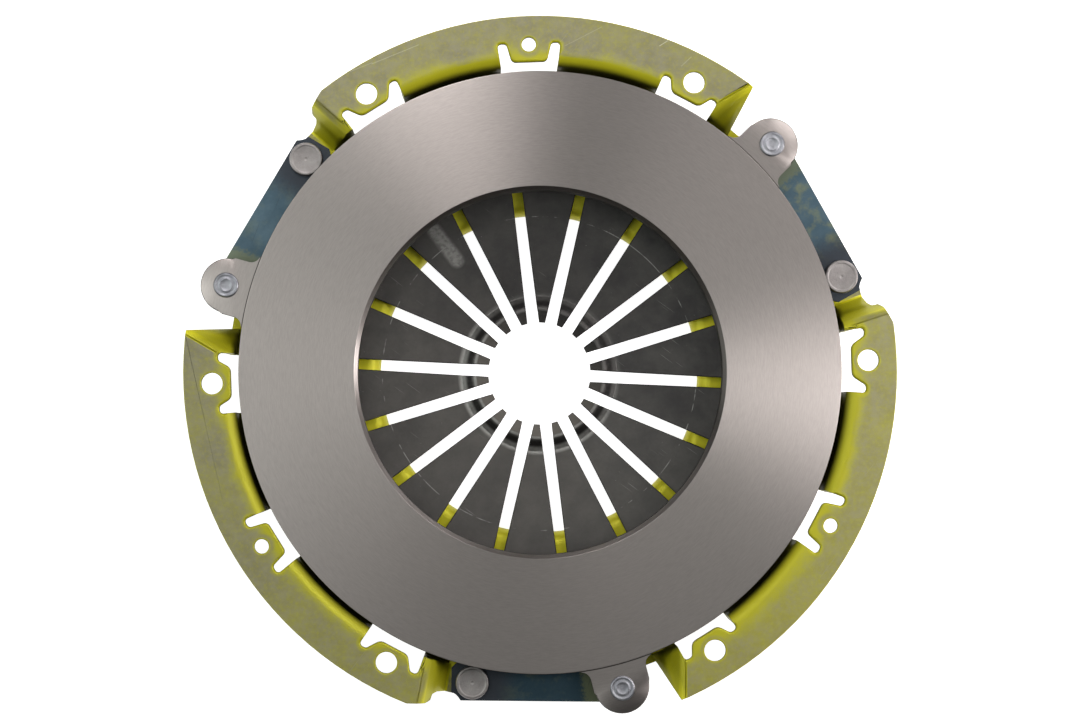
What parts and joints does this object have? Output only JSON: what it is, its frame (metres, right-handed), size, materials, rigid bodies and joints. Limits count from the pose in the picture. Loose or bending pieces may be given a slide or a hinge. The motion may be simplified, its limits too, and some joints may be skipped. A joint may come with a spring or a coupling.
{
  "type": "clutch pressure plate",
  "caption": "Diaphragm spring clutch pressure plate: pressed three-lobed cover, cast friction ring on drive straps and slotted spring fingers.",
  "frame": {"origin": "centre of the bolt circle, in the plane of the flange face that meets the flywheel", "axes": "+Z along the clutch axis towards the flywheel, +Y through one dowel hole"},
  "size_m": [0.3, 0.2948, 0.0423],
  "materials": {
    "cover_sheet": "yellow passivated zinc plate on pressed steel",
    "friction_ring": "turned face, dark cast back",
    "spring_steel": "dark hardened and oiled",
    "blued_strap": "blued spring strip",
    "rivet_steel": "plain headed steel",
    "fulcrum_wire": "drawn wire"
  },
  "bodies": {
    "cover": {"cover": "cover_sheet", "front_fulcrum_ring": "fulcrum_wire", "rear_fulcrum_ring": "fulcrum_wire", "pivot_rivet_1": "rivet_steel", "pivot_rivet_2": "rivet_steel", "pivot_rivet_3": "rivet_steel", "pivot_rivet_4": "rivet_steel", "pivot_rivet_5": "rivet_steel", "pivot_rivet_6": "rivet_steel", "pivot_rivet_7": "rivet_steel", "pivot_rivet_8": "rivet_steel", "pivot_rivet_9": "rivet_steel", "strap_rivet_1": "rivet_steel", "strap_rivet_2": "rivet_steel", "strap_rivet_3": "rivet_steel", "strap_1_leaf_1": "blued_strap", "strap_1_leaf_2": "blued_strap", "strap_1_leaf_3": "blued_strap", "strap_2_leaf_1": "blued_strap", "strap_2_leaf_2": "blued_strap", "strap_2_leaf_3": "blued_strap", "strap_3_leaf_1": "blued_strap", "strap_3_leaf_2": "blued_strap", "strap_3_leaf_3": "blued_strap"},
    "pressure_ring": {"pressure_ring": "friction_ring", "ear_rivet_1": "rivet_steel", "ear_rivet_2": "rivet_steel", "ear_rivet_3": "rivet_steel"},
    "finger_01": {"finger_01": "spring_steel"},
    "finger_02": {"finger_02": "spring_steel"},
    "finger_03": {"finger_03": "spring_steel"},
    "finger_04": {"finger_04": "spring_steel"},
    "finger_05": {"finger_05": "spring_steel"},
    "finger_06": {"finger_06": "spring_steel"},
    "finger_07": {"finger_07": "spring_steel"},
    "finger_08": {"finger_08": "spring_steel"},
    "finger_09": {"finger_09": "spring_steel"},
    "finger_10": {"finger_10": "spring_steel"},
    "finger_11": {"finger_11": "spring_steel"},
    "finger_12": {"finger_12": "spring_steel"},
    "finger_13": {"finger_13": "spring_steel"},
    "finger_14": {"finger_14": "spring_steel"},
    "finger_15": {"finger_15": "spring_steel"},
    "finger_16": {"finger_16": "spring_steel"},
    "finger_17": {"finger_17": "spring_steel"},
    "finger_18": {"finger_18": "spring_steel"}
  },
  "joints": [
    {"name": "plate_lift", "type": "slide", "parent": "cover", "child": "pressure_ring", "axis": [0, 0, -1], "range_m": [0, 0.003], "stiffness_N_per_m": 60000, "springref_m": -0.002, "deforming": ["strap_1_leaf_1", "strap_1_leaf_2", "strap_1_leaf_3", "strap_2_leaf_1", "strap_2_leaf_2", "strap_2_leaf_3", "strap_3_leaf_1", "strap_3_leaf_2", "strap_3_leaf_3"]},
    {"name": "finger_01_tilt", "type": "hinge", "parent": "cover", "child": "finger_01", "pos_m": [0.09688, 0.00848, -0.0285], "axis": [-0.0872, 0.9962, 0], "range_deg": [0, 14]},
    {"name": "finger_02_tilt", "type": "hinge", "parent": "cover", "child": "finger_02", "pos_m": [0.08814, 0.0411, -0.0285], "axis": [-0.4226, 0.9063, 0], "range_deg": [0, 14]},
    {"name": "finger_03_tilt", "type": "hinge", "parent": "cover", "child": "finger_03", "pos_m": [0.06877, 0.06877, -0.0285], "axis": [-0.7071, 0.7071, 0], "range_deg": [0, 14]},
    {"name": "finger_04_tilt", "type": "hinge", "parent": "cover", "child": "finger_04", "pos_m": [0.0411, 0.08814, -0.0285], "axis": [-0.9063, 0.4226, 0], "range_deg": [0, 14]},
    {"name": "finger_05_tilt", "type": "hinge", "parent": "cover", "child": "finger_05", "pos_m": [0.00848, 0.09688, -0.0285], "axis": [-0.9962, 0.0872, 0], "range_deg": [0, 14]},
    {"name": "finger_06_tilt", "type": "hinge", "parent": "cover", "child": "finger_06", "pos_m": [-0.02517, 0.09394, -0.0285], "axis": [-0.9659, -0.2588, 0], "range_deg": [0, 14]},
    {"name": "finger_07_tilt", "type": "hinge", "parent": "cover", "child": "finger_07", "pos_m": [-0.05578, 0.07966, -0.0285], "axis": [-0.8192, -0.5736, 0], "range_deg": [0, 14]},
    {"name": "finger_08_tilt", "type": "hinge", "parent": "cover", "child": "finger_08", "pos_m": [-0.07966, 0.05578, -0.0285], "axis": [-0.5736, -0.8192, 0], "range_deg": [0, 14]},
    {"name": "finger_09_tilt", "type": "hinge", "parent": "cover", "child": "finger_09", "pos_m": [-0.09394, 0.02517, -0.0285], "axis": [-0.2588, -0.9659, 0], "range_deg": [0, 14]},
    {"name": "finger_10_tilt", "type": "hinge", "parent": "cover", "child": "finger_10", "pos_m": [-0.09688, -0.00848, -0.0285], "axis": [0.0872, -0.9962, 0], "range_deg": [0, 14]},
    {"name": "finger_11_tilt", "type": "hinge", "parent": "cover", "child": "finger_11", "pos_m": [-0.08814, -0.0411, -0.0285], "axis": [0.4226, -0.9063, 0], "range_deg": [0, 14]},
    {"name": "finger_12_tilt", "type": "hinge", "parent": "cover", "child": "finger_12", "pos_m": [-0.06877, -0.06877, -0.0285], "axis": [0.7071, -0.7071, 0], "range_deg": [0, 14]},
    {"name": "finger_13_tilt", "type": "hinge", "parent": "cover", "child": "finger_13", "pos_m": [-0.0411, -0.08814, -0.0285], "axis": [0.9063, -0.4226, 0], "range_deg": [0, 14]},
    {"name": "finger_14_tilt", "type": "hinge", "parent": "cover", "child": "finger_14", "pos_m": [-0.00848, -0.09688, -0.0285], "axis": [0.9962, -0.0872, 0], "range_deg": [0, 14]},
    {"name": "finger_15_tilt", "type": "hinge", "parent": "cover", "child": "finger_15", "pos_m": [0.02517, -0.09394, -0.0285], "axis": [0.9659, 0.2588, 0], "range_deg": [0, 14]},
    {"name": "finger_16_tilt", "type": "hinge", "parent": "cover", "child": "finger_16", "pos_m": [0.05578, -0.07966, -0.0285], "axis": [0.8192, 0.5736, 0], "range_deg": [0, 14]},
    {"name": "finger_17_tilt", "type": "hinge", "parent": "cover", "child": "finger_17", "pos_m": [0.07966, -0.05578, -0.0285], "axis": [0.5736, 0.8192, 0], "range_deg": [0, 14]},
    {"name": "finger_18_tilt", "type": "hinge", "parent": "cover", "child": "finger_18", "pos_m": [0.09394, -0.02517, -0.0285], "axis": [0.2588, 0.9659, 0], "range_deg": [0, 14]}
  ],
  "couplings": [
    {"joint": "finger_01_tilt", "follows": "plate_lift", "rad_per_m": 80},
    {"joint": "finger_02_tilt", "follows": "plate_lift", "rad_per_m": 80},
    {"joint": "finger_03_tilt", "follows": "plate_lift", "rad_per_m": 80},
    {"joint": "finger_04_tilt", "follows": "plate_lift", "rad_per_m": 80},
    {"joint": "finger_05_tilt", "follows": "plate_lift", "rad_per_m": 80},
    {"joint": "finger_06_tilt", "follows": "plate_lift", "rad_per_m": 80},
    {"joint": "finger_07_tilt", "follows": "plate_lift", "rad_per_m": 80},
    {"joint": "finger_08_tilt", "follows": "plate_lift", "rad_per_m": 80},
    {"joint": "finger_09_tilt", "follows": "plate_lift", "rad_per_m": 80},
    {"joint": "finger_10_tilt", "follows": "plate_lift", "rad_per_m": 80},
    {"joint": "finger_11_tilt", "follows": "plate_lift", "rad_per_m": 80},
    {"joint": "finger_12_tilt", "follows": "plate_lift", "rad_per_m": 80},
    {"joint": "finger_13_tilt", "follows": "plate_lift", "rad_per_m": 80},
    {"joint": "finger_14_tilt", "follows": "plate_lift", "rad_per_m": 80},
    {"joint": "finger_15_tilt", "follows": "plate_lift", "rad_per_m": 80},
    {"joint": "finger_16_tilt", "follows": "plate_lift", "rad_per_m": 80},
    {"joint": "finger_17_tilt", "follows": "plate_lift", "rad_per_m": 80},
    {"joint": "finger_18_tilt", "follows": "plate_lift", "rad_per_m": 80}
  ]
}
